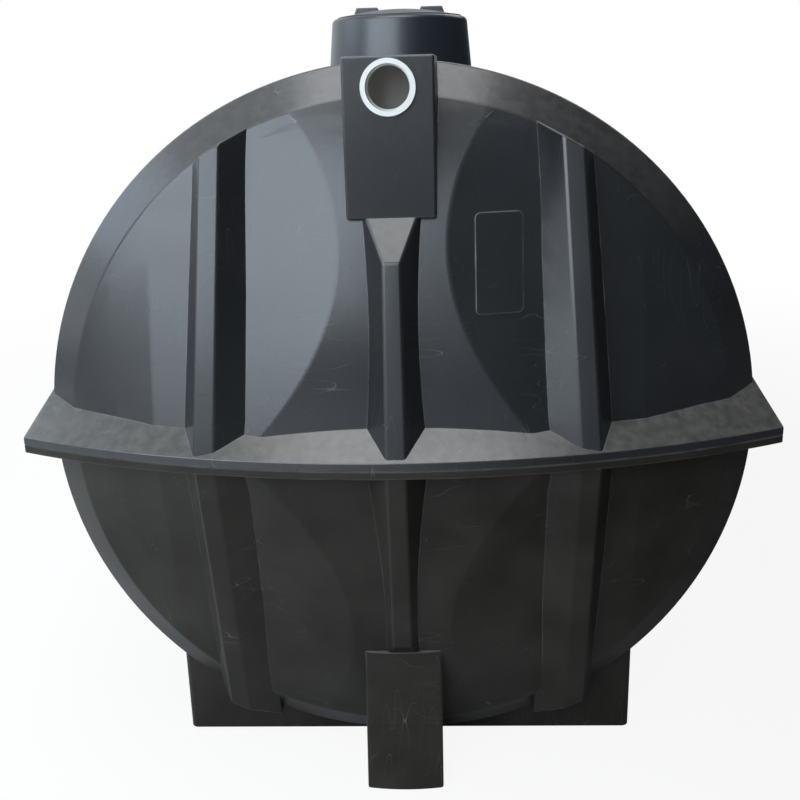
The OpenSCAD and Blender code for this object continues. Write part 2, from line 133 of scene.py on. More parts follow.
# %% Floor
ground = bmesh.new()
bmesh.ops.create_grid(ground, x_segments=1, y_segments=1, size=30)
floor = keep(ground, "floor")
floor_paint = bpy.data.materials.new("floor")
floor_paint.use_nodes = True
tree = floor_paint.node_tree
matt = tree.nodes["Principled BSDF"]
matt.inputs["Roughness"].default_value = 0.9
place = node(tree, "TexCoord").outputs["Object"]
across = node(tree, "SeparateXYZ", {0: place}).outputs["X"]
# Painted shade: the floor's colour darkens from pale on the left to dark on the right, so that less
# light comes back up on the tank's right side.
tree.links.new(ranged(tree, across, -1.5, 1.5, 0.95, 0.1), matt.inputs["Base Color"])
away = node(tree, "VectorMath", {0: place}, operation="LENGTH").outputs["Value"]
white_share = ranged(tree, away, 2.0, 8.0, 0.91, 1.0, interpolation_type="SMOOTHSTEP")
seen = node(tree, "LightPath").outputs["Is Camera Ray"]
white_share = maths(tree, "MULTIPLY", seen, white_share)
white = node(tree, "Emission").outputs[0]
mix = node(tree, "MixShader", {0: white_share, 1: matt.outputs[0], 2: white})
tree.links.new(mix.outputs[0], tree.nodes["Material Output"].inputs["Surface"])
floor.data.materials.append(floor_paint)
print("floor:", len(tree.nodes), "shader nodes")

# %% World
PALE_BLUE = (0.86, 0.93, 1.0, 1)
bpy.context.scene.view_settings.view_transform = "Standard"
world = bpy.data.worlds.new("studio")
bpy.context.scene.world = world
world.use_nodes = True
sky = world.node_tree
sky.nodes.clear()
rays = node(sky, "LightPath").outputs
way = node(sky, "TexCoord").outputs["Generated"]
sideways = node(sky, "SeparateXYZ", {0: way}).outputs["X"]
right_to_left = ranged(sky, sideways, 0.5, -0.7, 0.05, 1.4)
lighting = node(sky, "Background", {"Color": PALE_BLUE, "Strength": 0.22}).outputs[0]
mirrored = node(sky, "Background", {"Color": PALE_BLUE, "Strength": right_to_left}).outputs[0]
backdrop = node(sky, "Background", {"Color": (1, 1, 1, 1)}).outputs[0]
direct = maths(sky, "MAXIMUM", rays["Is Camera Ray"], rays["Is Transmission Ray"])
indirect = node(sky, "MixShader", {0: rays["Is Glossy Ray"], 1: lighting, 2: mirrored}).outputs[0]
studio = node(sky, "MixShader", {0: direct, 1: indirect, 2: backdrop}).outputs[0]
node(sky, "OutputWorld", {"Surface": studio})
print("world:", len(sky.nodes), "shader nodes")


# %% Lamps
def lamp(name, azimuth, elevation, width, height, radiance, tint):
    """A soft rectangle round the front end; azimuth is counted from the front, to the right."""
    distance, target = 8.0, Vector((0, -HALF, 1.2))
    turn, rise = math.radians(azimuth), math.radians(elevation)
    level = math.cos(rise)
    way = Vector((math.sin(turn) * level, -math.cos(turn) * level, math.sin(rise)))
    data = bpy.data.lights.new(name, "AREA")
    data.shape, data.size, data.size_y = "RECTANGLE", width, height
    data.energy, data.color = radiance * math.pi * width * height, tint
    obj = bpy.data.objects.new(name, data)
    bpy.context.scene.collection.objects.link(obj)
    obj.location = target + distance * way
    obj.rotation_mode = "QUATERNION"
    obj.rotation_quaternion = (-way).to_track_quat("-Z", "Y")
    print(f"{name}: {data.energy:.0f} W over {width} by {height} m")


lamp("sky_left", -31, 28, 8.0, 5.5, 4.7, (0.78, 0.89, 1.0))
lamp("side_left", -95, 28, 4.0, 3.0, 2.2, (0.66, 0.82, 1.0))
lamp("above", -12, 76, 5.5, 5.0, 4.4, (0.95, 0.97, 1.0))
lamp("behind", 155, 38, 5.0, 3.0, 1.6, (0.95, 0.97, 1.0))

# %% [markdown]
# ## Finishes
# Rotomoulded polyethylene copies the inside of a cast mould: a fine orange peel, walls that
# are never quite flat, scuffs from the yard and dust on whatever faces up. The lighter upward
# faces are partly a painted sheen, and the lighter worn edges partly a painted highlight. Each
# of these could be built again in every material. Here each is one shader group instead, so
# that every part of the tank can wear it with its own values.

# %% Helpers for effects
def group(name, inputs, outputs):
    """A new shader group with named value inputs and outputs; returns it and its two ends."""
    tree = bpy.data.node_groups.new(name, "ShaderNodeTree")
    value = {"socket_type": "NodeSocketFloat"}
    for label, default in inputs.items():
        socket = tree.interface.new_socket(label, in_out="INPUT", **value)
        socket.default_value = default
    for label in outputs:
        tree.interface.new_socket(label, in_out="OUTPUT", **value)
    return tree, tree.nodes.new("NodeGroupInput"), tree.nodes.new("NodeGroupOutput")


def noise(tree, scale, detail=2.0, stretch=(1, 1, 1)):
    """Noise on Object coordinates; a stretch below 1 draws it out along that axis."""
    place = node(tree, "TexCoord").outputs["Object"]
    place = node(tree, "Mapping", {"Vector": place, "Scale": stretch}).outputs[0]
    return node(tree, "TexNoise", {"Vector": place, "Scale": scale, "Detail": detail}).outputs[0]


# %% Moulded skin
skin, given, made = group(
    "moulded_skin", {"Grain": 0.1, "Peel": 0.2, "Wave": 2.0}, ["Height", "Patches"]
)
grain = maths(skin, "MULTIPLY", noise(skin, 420), given.outputs["Grain"])
peel = maths(skin, "MULTIPLY", noise(skin, 60, 3), given.outputs["Peel"])
wave = maths(skin, "MULTIPLY", noise(skin, 2.6, 1), given.outputs["Wave"])
height = maths(skin, "ADD", maths(skin, "ADD", grain, peel), wave)
patches = ranged(skin, noise(skin, 2.2, 4, (1.6, 1, 0.7)), 0.3, 0.75)
skin.links.new(height, made.inputs["Height"])
skin.links.new(patches, made.inputs["Patches"])
print(skin.name, "has", len(skin.nodes), "nodes")

# %% Dust, and painted sheen on upward faces
dust_and_sheen, given, made = group("settled_dust_and_sheen", {"Amount": 0.5, "All over": 0.1}, ["Mask"])
normal = node(dust_and_sheen, "NewGeometry").outputs["Normal"]
upward = node(dust_and_sheen, "SeparateXYZ", {0: normal}).outputs["Z"]
# Upward faces are lightened: settled dust, and partly a painted sheen of the light they catch.
lying_dust_and_sheen = maths(dust_and_sheen, "MULTIPLY", ranged(dust_and_sheen, upward, 0.35, 1.0), given.outputs["Amount"])
film = ranged(dust_and_sheen, noise(dust_and_sheen, 5, 7), 0.3, 0.8)
film = maths(dust_and_sheen, "MULTIPLY", film, given.outputs["All over"])
speckle = ranged(dust_and_sheen, noise(dust_and_sheen, 34, 7), 0.35, 0.65)
speckle = maths(dust_and_sheen, "MULTIPLY_ADD", speckle, 0.5, 0.5)
mottled = maths(dust_and_sheen, "MULTIPLY", lying_dust_and_sheen, speckle)
both = node(dust_and_sheen, "Math", {0: mottled, 1: film}, operation="ADD", use_clamp=True)
dust_and_sheen.links.new(both.outputs[0], made.inputs["Mask"])
print(dust_and_sheen.name, "has", len(dust_and_sheen.nodes), "nodes")

# %% Scuffs
scuffs, given, made = group("yard_scuffs", {"Amount": 0.5}, ["Mask"])


def scratch(stretch, scale, patch_scale):
    """Hair lines where a stretched noise crosses its middle, in patches."""
    middle = maths(scuffs, "SUBTRACT", noise(scuffs, scale, 0, stretch), 0.5)
    line = ranged(scuffs, maths(scuffs, "ABSOLUTE", middle), 0.0035, 0.0)
    patch = ranged(scuffs, noise(scuffs, patch_scale, 3), 0.52, 0.66)
    return maths(scuffs, "MULTIPLY", line, patch)


lines = maths(scuffs, "MAXIMUM", scratch((1, 1, 0.1), 34, 3.1), scratch((0.12, 1, 1), 26, 4.3))
lines = maths(scuffs, "MULTIPLY", lines, given.outputs["Amount"])
scuffs.links.new(lines, made.inputs["Mask"])
print(scuffs.name, "has", len(scuffs.nodes), "nodes")

# %% Worn edges, partly painted edge highlights
wear_and_edge_highlight, given, made = group("worn_and_highlit_edges", {"Amount": 0.5}, ["Mask"])
flat = node(wear_and_edge_highlight, "NewGeometry").outputs["True Normal"]
eased = node(wear_and_edge_highlight, "Bevel", {"Radius": 5 * MM}).outputs[0]
alike = node(wear_and_edge_highlight, "VectorMath", {0: eased, 1: flat}, operation="DOT_PRODUCT")
# Convex and hollow edges alike are lightened: partly wear, partly a painted highlight of the light
# that edges catch.
edge = ranged(wear_and_edge_highlight, alike.outputs["Value"], 0.985, 0.90)
worn_and_highlit = maths(wear_and_edge_highlight, "MULTIPLY", edge, ranged(wear_and_edge_highlight, noise(wear_and_edge_highlight, 14, 5), 0.3, 0.7))
wear_and_edge_highlight.links.new(maths(wear_and_edge_highlight, "MULTIPLY", worn_and_highlit, given.outputs["Amount"]), made.inputs["Mask"])
print(wear_and_edge_highlight.name, "has", len(wear_and_edge_highlight.nodes), "nodes")

# %% Plastics
# This colour lightens upward faces, as dust and as a painted sheen.
DUST_AND_SHEEN_COLOUR = (0.20, 0.187, 0.162)
# This colour lightens scuffs, and edges as a painted highlight.
SCUFF_AND_HIGHLIGHT_COLOUR = (0.26, 0.27, 0.28)


def mixed(tree, mask, a, b):
    """Colour a where the mask is 0 and colour b where it is 1."""
    made = node(tree, "Mix", {"Factor": mask}, data_type="RGBA")
    for socket, colour in ((made.inputs[6], a), (made.inputs[7], b)):
        if isinstance(colour, bpy.types.NodeSocket):
            tree.links.new(colour, socket)
        else:
            socket.default_value = (*colour, 1)
    return made.outputs[2]


def placed(tree, shader_group, **values):
    """A group set in a material with its own values; returns its outputs."""
    made = node(tree, "Group", node_tree=shader_group)
    for key, value in values.items():
        made.inputs[key.replace("_", " ")].default_value = value
    return made.outputs


def plastic(name, base, patch, rough, shine=0.5, dusty_and_sheen=0.4, film=0.12, scuffed=0.5,
            worn_and_highlit=0.35, wave=2.0, peel=0.2):
    """A moulded plastic: base and patch are its two shades, rough its two roughnesses."""
    paint = bpy.data.materials.new(name)
    paint.use_nodes = True
    tree = paint.node_tree
    shader = tree.nodes["Principled BSDF"]
    surface = placed(tree, skin, Grain=0.08, Peel=peel, Wave=wave)
    colour = mixed(tree, surface["Patches"], base, patch)
    # Dust and painted sheen: upward faces are lightened towards a pale dust colour.
    dust_and_sheen_mask = placed(tree, dust_and_sheen, Amount=dusty_and_sheen, All_over=film)["Mask"]
    colour = mixed(tree, dust_and_sheen_mask, colour, DUST_AND_SHEEN_COLOUR)
    scratched = placed(tree, scuffs, Amount=scuffed)["Mask"]
    rubbed_and_highlit = placed(tree, wear_and_edge_highlight, Amount=worn_and_highlit)["Mask"]
    # Scuffs, and worn edges that are partly a painted highlight, take the lighter colour.
    marks_and_highlights = maths(tree, "MAXIMUM", scratched, rubbed_and_highlit)
    tree.links.new(mixed(tree, marks_and_highlights, colour, SCUFF_AND_HIGHLIGHT_COLOUR), shader.inputs["Base Color"])
    roughness = ranged(tree, surface["Patches"], 0.0, 1.0, *rough)
    roughness = maths(tree, "ADD", roughness, maths(tree, "MULTIPLY", marks_and_highlights, 0.15))
    tree.links.new(roughness, shader.inputs["Roughness"])
    bump = node(tree, "Bump", {"Height": surface["Height"], "Strength": 1.0, "Distance": MM})
    tree.links.new(bump.outputs[0], shader.inputs["Normal"])
    shader.inputs["Specular IOR Level"].default_value = shine
    return paint


# %% The tank's finishes, with tints of painted reflection
# Painted reflection: the upper moulding and the top are tinted bluish like the reflected sky, and
# the lower moulding brownish like the reflected ground.
black_upper = plastic("black_upper", (0.010, 0.011, 0.012), (0.013, 0.014, 0.016), (0.25, 0.29),
                      shine=0.62, dusty_and_sheen=0.45, film=0.03, scuffed=0.22, worn_and_highlit=0.5)
black_lower = plastic("black_lower", (0.011, 0.0095, 0.0065), (0.016, 0.014, 0.010), (0.34, 0.42),
                      shine=0.2, film=0.09, scuffed=0.3, worn_and_highlit=0.4)
black_top = plastic("black_top", (0.012, 0.016, 0.021), (0.016, 0.021, 0.027), (0.28, 0.33),
                    shine=0.6, dusty_and_sheen=0.12, film=0.03, scuffed=0.2)
white_pvc = plastic("pvc_ring", (0.80, 0.81, 0.78), (0.74, 0.74, 0.70), (0.3, 0.42),
                    dusty_and_sheen=0.2, worn_and_highlit=0.0, wave=0, peel=0.05)
# Painted shade: the tee is coloured the grey-brown that white PVC shows in the shade inside the
# socket.
pvc_in_painted_shade = plastic("pvc_pipe", (0.46, 0.43, 0.39), (0.52, 0.49, 0.45), (0.5, 0.6),
                   dusty_and_sheen=0.2, worn_and_highlit=0.0, wave=0, peel=0.05)
rubber = plastic("seal_rubber", (0.016, 0.016, 0.016), (0.025, 0.025, 0.025), (0.6, 0.7),
                 dusty_and_sheen=0.1, worn_and_highlit=0.0, wave=0, peel=0.1)


def dress(obj, paint):
    obj.data.materials.clear()
    obj.data.materials.append(paint)


finishes = {"socket": white_pvc, "tee": pvc_in_painted_shade, "seal": rubber}
for name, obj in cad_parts.items():
    dress(obj, finishes.get(name.split("_")[-1], black_upper))
print("dressed", len(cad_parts), "CAD nodes")

# %% [markdown]
# ## Tools for making bodies
# Feet, pads, lips and middle ribs are convex blocks: each starts as a cube and is cut by
# planes, as a carver would do it. Every body gets its soft edges before it is joined to the
# others, so that no rounding ever meets another.

# %% Bodies cut by planes
def everything(bm):
    return bm.verts[:] + bm.edges[:] + bm.faces[:]


def block(low, high):
    bm = bmesh.new()
    bmesh.ops.create_cube(bm, size=1)
    bmesh.ops.scale(bm, vec=Vector(high) - Vector(low), verts=bm.verts)
    bmesh.ops.translate(bm, vec=(Vector(low) + Vector(high)) / 2, verts=bm.verts)
    return bm


def trimmed(bm, point, away):
    """Cuts away what lies beyond a plane, and leaves the cut open; returns what the cut made."""
    return bmesh.ops.bisect_plane(bm, geom=everything(bm), dist=1e-6, plane_co=point,
                                  plane_no=Vector(away), clear_outer=True)["geom_cut"]


def carve(bm, planes):
    """Cuts away what lies beyond each plane, given as a point and a direction, and caps the cut."""
    for point, away in planes:
        cut = trimmed(bm, point, away)
        rim = [e for e in cut if isinstance(e, bmesh.types.BMEdge) and e.is_boundary]
        if rim:
            bmesh.ops.edgeloop_fill(bm, edges=rim)
    bmesh.ops.recalc_face_normals(bm, faces=bm.faces)
    return bm


# %% Soft edges
EDGE = 6 * MM  # how wide most edges of the mould are rounded


def softened(bm, width, sharp=math.radians(12), segments=3, chosen=lambda edge: True):
    """Rounds every chosen edge of a body that turns by more than sharp."""
    bmesh.ops.remove_doubles(bm, verts=bm.verts, dist=0.05 * MM)
    edges = [e for e in bm.edges if len(e.link_faces) == 2 and e.calc_face_angle() > sharp]
    bmesh.ops.bevel(bm, geom=[e for e in edges if chosen(e)], affect="EDGES", offset=width,
                    segments=segments, profile=0.5, clamp_overlap=False, material=-1)
    return bm


# %% Places on the ends
def local(x, depth, height):
    """A place on the front end, from its distance across, its depth and its height."""
    return Vector((x, -HALF - depth, SEAM + height))


def facing(x, depth, height):
    """A direction, given in the same way."""
    return Vector((x, -depth, height))


def turned(bm, back, lower):
    """A copy of a front upper body, mirrored to the back end or below the seam."""
    twin = bm.copy()
    if back:
        bmesh.ops.scale(twin, vec=(1, -1, 1), verts=twin.verts)
    if lower:
        bmesh.ops.scale(twin, vec=(1, 1, -1), verts=twin.verts)
        bmesh.ops.translate(twin, vec=(0, 0, 2 * SEAM), verts=twin.verts)
    if back != lower:
        bmesh.ops.reverse_faces(twin, faces=twin.faces)
    return twin


def both_ends(bm, low=False):
    """A body on the front end and its twin on the back end."""
    return [turned(bm, False, low), turned(bm, True, low)]


def both_sides(bm):
    """A body on the right and its twin on the left."""
    twin = bm.copy()
    bmesh.ops.scale(twin, vec=(-1, 1, 1), verts=twin.verts)
    bmesh.ops.reverse_faces(twin, faces=twin.faces)
    return [bm, twin]


# %% [markdown]
# ## The shell
# The middle of each end wall is a dome that is curved only up and down, and its sides are
# four flat panels that lean back and fold once on their way out. Where panels and dome cut
# each other they leave two bowed creases. The wall starts as a flat grid whose columns
# follow the creases and the folds, so that they stay crisp. Its round edge is then drawn out
# over the sloping band and along the barrel, so that the whole shell is one skin.

# %% Depth of the end wall
RIM_W, RIM_D = 85 * MM, 75 * MM  # width and depth of the sloping band
RIM_IN = RING_R - RIM_W
END_D, PANEL_EDGE_D = 278 * MM, 75 * MM  # depth of the dome's middle and of its ends
WAIST, FOLD_X = 139 * MM, 655 * MM  # how far out the creases are at their closest, and the folds
EASE_R = 560 * MM  # how far from the axis the wall starts to ease outwards
# The panels lean back by BATTER away from the seam, and by a turn on each side of the fold
BATTER, INNER_TURN, OUTER_TURN = (math.radians(a) for a in (14.5, 14.5, 21))
SAG = END_D - PANEL_EDGE_D
DOME_R = (RIM_IN**2 + SAG**2) / (2 * SAG)
CREASE = END_D - DOME_R + DOME_R / math.cos(BATTER) + WAIST * math.tan(INNER_TURN)
print(f"dome radius {DOME_R:.3f}, panels would meet at a depth of {CREASE:.3f}")


def dome_depth(h):
    return END_D - DOME_R + math.sqrt(DOME_R**2 - h**2)


def wall_depth(x, h):
    """Depth of the end wall: the lower of its flat side panels and its domed middle."""
    x = abs(x)
    slope = min(x, FOLD_X) * math.tan(INNER_TURN) + max(x - FOLD_X, 0) * math.tan(OUTER_TURN)
    return min(CREASE - slope - h * math.tan(BATTER), dome_depth(h))


def eased_depth(x, h):
    """Depth of the end wall, eased outwards near its edge so that it meets the band all round."""
    r = max(math.hypot(x, h), MM)
    ease = (max(r - EASE_R, 0) / (RIM_IN - EASE_R)) ** 2
    edge = wall_depth(x * RIM_IN / r, abs(h) * RIM_IN / r)
    return wall_depth(x, abs(h)) + ease * (RIM_D - edge)


# %% End wall
WALL_R = RIM_IN - 30 * MM  # where the grid ends
COLUMNS, ROWS, FACETS = 8, 72, 192  # columns on each side, rows, and sides of the round edge


def column(i, h):
    """Distance across of grid column i, from the middle: 2 is the crease and 5 the fold."""
    crease = (CREASE - h * math.tan(BATTER) - dome_depth(h)) / math.tan(INNER_TURN)
    stops = [0, crease / 2, crease]
    stops += [crease + (FOLD_X - crease) * k / 3 for k in (1, 2, 3)]
    stops += [FOLD_X + (RING_R - FOLD_X) * k / 3 for k in (1, 2, 3)]
    return math.copysign(stops[abs(i)], i)


def end_wall():
    """The grid, with its columns in place, trimmed round and then pushed out to its depth."""
    bm = bmesh.new()
    bmesh.ops.create_grid(bm, x_segments=2 * COLUMNS, y_segments=ROWS, size=1)
    for v in bm.verts:
        h = v.co.y * RIM_IN
        v.co = local(column(round(v.co.x * COLUMNS), abs(h)), 0, h)
    flat = WALL_R * math.cos(math.pi / FACETS)
    for i in range(FACETS):
        a = 2 * math.pi * (i + 0.5) / FACETS
        out = facing(math.cos(a), 0, math.sin(a))
        trimmed(bm, local(flat * math.cos(a), 0, flat * math.sin(a)), out)
    edge = [v for v in bm.verts if v.is_boundary]
    bmesh.ops.remove_doubles(bm, verts=edge, dist=4 * MM)
    for v in bm.verts:
        h = v.co.z - SEAM
        v.co = local(v.co.x, eased_depth(v.co.x, h), h)
    return bm


# %% Band and barrel
VALLEY_D, VALLEY_RUN, VALLEY_W = 35 * MM, 40 * MM, 150 * MM  # depth, length of a slope, width
FIRST_VALLEY, HOOP_W = 110 * MM, 180 * MM  # from the ring plane, and between two valleys
BEND = 14 * MM


def bent(a, corner, b, steps=4):
    """A corner of an outline, eased over a short length on both of its sides."""
    a, corner, b = (Vector(p) for p in (a, corner, b))
    start, end = (corner + (p - corner).normalized() * BEND for p in (a, b))
    turns = [k / steps for k in range(steps + 1)]
    return [start * (1 - t) ** 2 + corner * 2 * t * (1 - t) + end * t**2 for t in turns]


def barrel_line():
    """Radius and place along the tank of the outline from the band to the middle."""
    path = [(RING_R, -HALF)]
    for y in (-HALF + FIRST_VALLEY, -HALF + FIRST_VALLEY + VALLEY_W + HOOP_W):
        path += [(RING_R, y), (RING_R - VALLEY_D, y + VALLEY_RUN)]
        path += [(RING_R - VALLEY_D, y + VALLEY_W - VALLEY_RUN), (RING_R, y + VALLEY_W)]
    path += [(RING_R, 0)]
    line = [(RIM_IN, -HALF - RIM_D), (RING_R, -HALF)]
    for a, corner, b in zip(path, path[1:], path[2:]):
        line += bent(a, corner, b)
    return line + [(RING_R, 0)]


def shell():
    """Both end walls, both sloping bands and the barrel with its valleys, as one closed skin."""
    bm = end_wall()
    last = WALL_R
    for radius, y in barrel_line():
        bmesh.ops.extrude_edge_only(bm, edges=[e for e in bm.edges if e.is_boundary])
        for v in bm.verts:
            if v.is_boundary:
                height = (v.co.z - SEAM) * radius / last
                v.co = Vector((v.co.x * radius / last, y, SEAM + height))
        last = radius
    bmesh.ops.mirror(bm, geom=everything(bm), axis="Y", merge_dist=0.1 * MM)
    bmesh.ops.recalc_face_normals(bm, faces=bm.faces)
    ends = lambda edge: all(abs(v.co.y) > HALF - 5 * MM for v in edge.verts)
    return softened(bm, EDGE, sharp=math.radians(4.5), chosen=ends)


whole_shell = shell()
print("shell:", len(whole_shell.faces), "faces")

# %% [markdown]
# ## The flange and its sloping apron
# The halves are joined on a lip that runs all round the tank. Its edge is bowed when it is
# seen from above, and on the upper half an apron slopes up from it to the wall. It could be
# swept along the bow. Cutting it from a block, by planes fanned round the centre of the bow,
# also gives its corners their mitres.

# %% Flange and apron
FLANGE_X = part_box("upper_flange_front")[1].x
LIP_T, APRON_H = 22 * MM, 112 * MM
FLANGE_D, FLANGE_R = 367 * MM, 2350 * MM  # depth of the edge in the middle, radius of its bow
APRON_RISE, SIDE_RISE = math.radians(35.5), math.radians(64)  # lean of the apron's planes
FAN, FAN_STEP = 22, 1.22  # planes on each side of the middle, and degrees between them


def edge_depth(x):
    """Depth of the bowed flange edge at a distance x from the middle."""
    return FLANGE_D - FLANGE_R + math.sqrt(FLANGE_R**2 - x**2)


def bow(rise, back):
    """Planes round the bowed edge of one end, which lean back by rise from level."""
    planes = []
    end = -1 if back else 1
    for i in range(-FAN, FAN + 1):
        a = math.radians(FAN_STEP * i)
        depth = FLANGE_D - FLANGE_R + FLANGE_R * math.cos(a)
        point = local(FLANGE_R * math.sin(a), depth, LIP_T)
        out = facing(math.sin(a) * math.sin(rise), math.cos(a) * math.sin(rise), math.cos(rise))
        planes.append(((point.x, point.y * end, point.z), (out.x, out.y * end, out.z)))
    return planes


def flange(apron):
    """The lip all round the tank, with the sloping apron over it where one is asked for."""
    high = LIP_T + (APRON_H if apron else 0)
    cuts = bow(math.pi / 2, False) + bow(math.pi / 2, True)
    if apron:
        cuts += bow(APRON_RISE, False) + bow(APRON_RISE, True)
        for side in (-1, 1):
            out = (side * math.sin(SIDE_RISE), 0, math.cos(SIDE_RISE))
            cuts.append(((side * FLANGE_X, 0, SEAM + LIP_T), out))
    front = local(-FLANGE_X, 1.1 * FLANGE_D, 0)
    return softened(carve(block(front, (FLANGE_X, -front.y, SEAM + high)), cuts), 2.5 * MM)


upper_flange, lower_flange = flange(True), turned(flange(False), False, True)
print("flange:", len(upper_flange.faces), "and", len(lower_flange.faces), "faces")

# %% [markdown]
# ## Ribs
# Ribs stiffen the end walls against the soil. The middle ones have a flat crest and two flat
# flanks: each flank is the plane through one edge of the crest and one point of the foot, so
# it meets the wall wherever the wall is. The side ones cross the fold of the wall and turn a
# little on their way, which flat cuts can't give, so they are bridged from one level section
# to the next.

# %% Sizes that the ribs share
ABOVE = 1 * MM  # ribs and shells end this far from the seam, inside the flange
ROOT, SUNK = 34 * MM, 6 * MM  # how far a rib reaches behind the ring plane and into the wall
LEDGE = 8 * MM  # how far its crest starts behind the flange edge
PAD_LOW, PAD_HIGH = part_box("inlet_pad")
PAD_FOOT = PAD_LOW.z - SEAM
LEG_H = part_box("front_leg")[1].z
LEG_TOP = SEAM - LEG_H
LEG_TOP_D = dome_depth(LEG_TOP) + 10 * MM  # the leg stands out from the wall as a small ledge
print(f"the middle ribs end {PAD_FOOT:.3f} above and {LEG_TOP:.3f} below the seam")

# %% Middle ribs
CREST, FOOT = 25 * MM, 82 * MM  # half widths of the crest and of the foot


def plane_through(a, b, c, inside):
    """The plane through three points, facing away from a point inside the body."""
    away = (b - a).cross(c - a).normalized()
    return (a, -away if away.dot(inside - a) > 0 else away)


def middle_rib(crest_end, bevel):
    """crest_end: depth, height and half width where the crest ends; bevel: where its bevel ends."""
    depth, height, half = crest_end
    low, high = local(0, FLANGE_D - LEDGE, LIP_T), local(0, depth, height)
    inside, across = local(0, 0, height / 2), Vector((100 * MM, 0, 0))
    cuts = [plane_through(low, high, low + across, inside)]
    cuts.append(plane_through(high, local(0, *bevel), high + across, inside))
    for side in (-1, 1):
        start = low + side * CREST * Vector((1, 0, 0))
        end = high + side * half * Vector((1, 0, 0))
        foot = local(side * FOOT, wall_depth(FOOT, LIP_T), LIP_T)
        cuts.append(plane_through(start, end, foot, inside))
    top = local(2 * FOOT, -ROOT, bevel[1] + 20 * MM)
    return softened(carve(block(local(-2 * FOOT, 1.2 * FLANGE_D, ABOVE), top), cuts), EDGE)


upper_middle_rib = middle_rib(
    crest_end=(280 * MM, PAD_FOOT - 100 * MM, 22 * MM), bevel=(205 * MM, PAD_FOOT)
)
lower_middle_rib = middle_rib(
    crest_end=(228 * MM, LEG_TOP - 33 * MM, CREST), bevel=(LEG_TOP_D, LEG_TOP)
)
print("middle ribs:", len(upper_middle_rib.faces), "and", len(lower_middle_rib.faces), "faces")

# %% Side ribs
SIDE_X, FLANK = 502 * MM, 88 * MM  # place across and width of the inner flank, at the flange
SIDE_CREST, LEAST_D = 26 * MM, 2 * MM  # half width of the crest, and its least depth


def bridged(sections):
    """A closed body bridged from one section to the next, with its two ends filled."""
    bm = bmesh.new()
    rings = []
    for section in sections:
        corners = [bm.verts.new(point) for point in section]
        rings.append([bm.edges.new(pair) for pair in zip(corners, corners[1:] + corners[:1])])
    for low, high in zip(rings, rings[1:]):
        bmesh.ops.bridge_loops(bm, edges=low + high)
    for ring in (rings[0], rings[-1]):
        bmesh.ops.edgeloop_fill(bm, edges=ring)
    bmesh.ops.recalc_face_normals(bm, faces=bm.faces)
    return bm


def side_rib(end_x, end_d, end_radius, end_flank, steps=10):
    """A side rib up to its end on the band or on the ring, at a distance from the axis."""
    end_h = math.sqrt(end_radius**2 - end_x**2)
    sections = []
    for i in range(steps + 1):
        h = ABOVE + (RING_R - ABOVE) * i / steps
        t = (h - LIP_T) / (end_h - LIP_T)
        x = SIDE_X + (end_x - SIDE_X) * t
        d = edge_depth(SIDE_X) - LEDGE + (end_d - edge_depth(SIDE_X) + LEDGE) * t
        d = max(d, LEAST_D)
        flank = FLANK + (end_flank - FLANK) * t
        inner, outer = x - SIDE_CREST - flank, x + SIDE_CREST + FLANK / 2
        feet = [max(min(wall_depth(foot, h), d) - SUNK, MM - ROOT) for foot in (inner, outer)]
        line = [(inner, -ROOT), (inner, feet[0]), (x - SIDE_CREST, d)]
        line += [(x + SIDE_CREST, d), (outer, feet[1]), (outer, -ROOT)]
        sections.append([local(across, depth, h) for across, depth in line])
    end = (local(end_x, 0, end_h), facing(end_x, 0, end_h))
    return softened(carve(bridged(sections), [end]), EDGE)


upper_side_rib = side_rib(
    end_x=458 * MM, end_d=155 * MM, end_radius=RIM_IN, end_flank=64 * MM
)
lower_side_rib = side_rib(
    end_x=SIDE_X, end_d=100 * MM, end_radius=RING_R - 6 * MM, end_flank=FLANK
)
print("side ribs:", len(upper_side_rib.faces), "and", len(lower_side_rib.faces), "faces")

# %% [markdown]
# ## Pad, legs and saddles
# The pad is the flat box at the top of the end, where the pipe goes in. The leg carries on
# the line of the middle rib down to the ground, and the saddles are cross feet under the
# barrel. All are plain enough to be carved, with a fan of planes for the leg's bowed face.

# %% Pad
PAD_D, PAD_H, PAD_HALF = -HALF - PAD_LOW.y, PAD_HIGH.z - PAD_LOW.z, 127 * MM
DRAFT, FLARE = 14 * MM, 7 * MM  # how much a side of the pad narrows outwards and widens upwards


def pad(inset):
    """The pad's block, or, with an inset, the hollow in it."""
    half, top = PAD_HALF - inset, PAD_FOOT + PAD_H - inset
    body = block(local(-half, PAD_D - inset, PAD_FOOT + inset), local(half, 0, top))
    cuts = []
    for out, depth, height in ((PAD_D, DRAFT, 0), (PAD_H, 0, FLARE)):
        for side in (-1, 1):
            cuts.append((local(side * half, 0, PAD_FOOT), facing(side * out, depth, height)))
    carve(body, cuts)
    return body if inset else softened(body, EDGE)


# %% Leg and saddle
LEG_HALF, LEG_FOOT_D, LEG_BOW = 110 * MM, 272 * MM, 10 * MM  # half width, depth, bow of its face
LEG_FAN, LEG_STEP = 4, 2.6  # planes on each side of the middle, and degrees between them
LEG_ROOT, SADDLE_H = 38 * MM, 330 * MM


def upright(edge):
    return abs(edge.verts[0].co.z - edge.verts[1].co.z) > 0.1


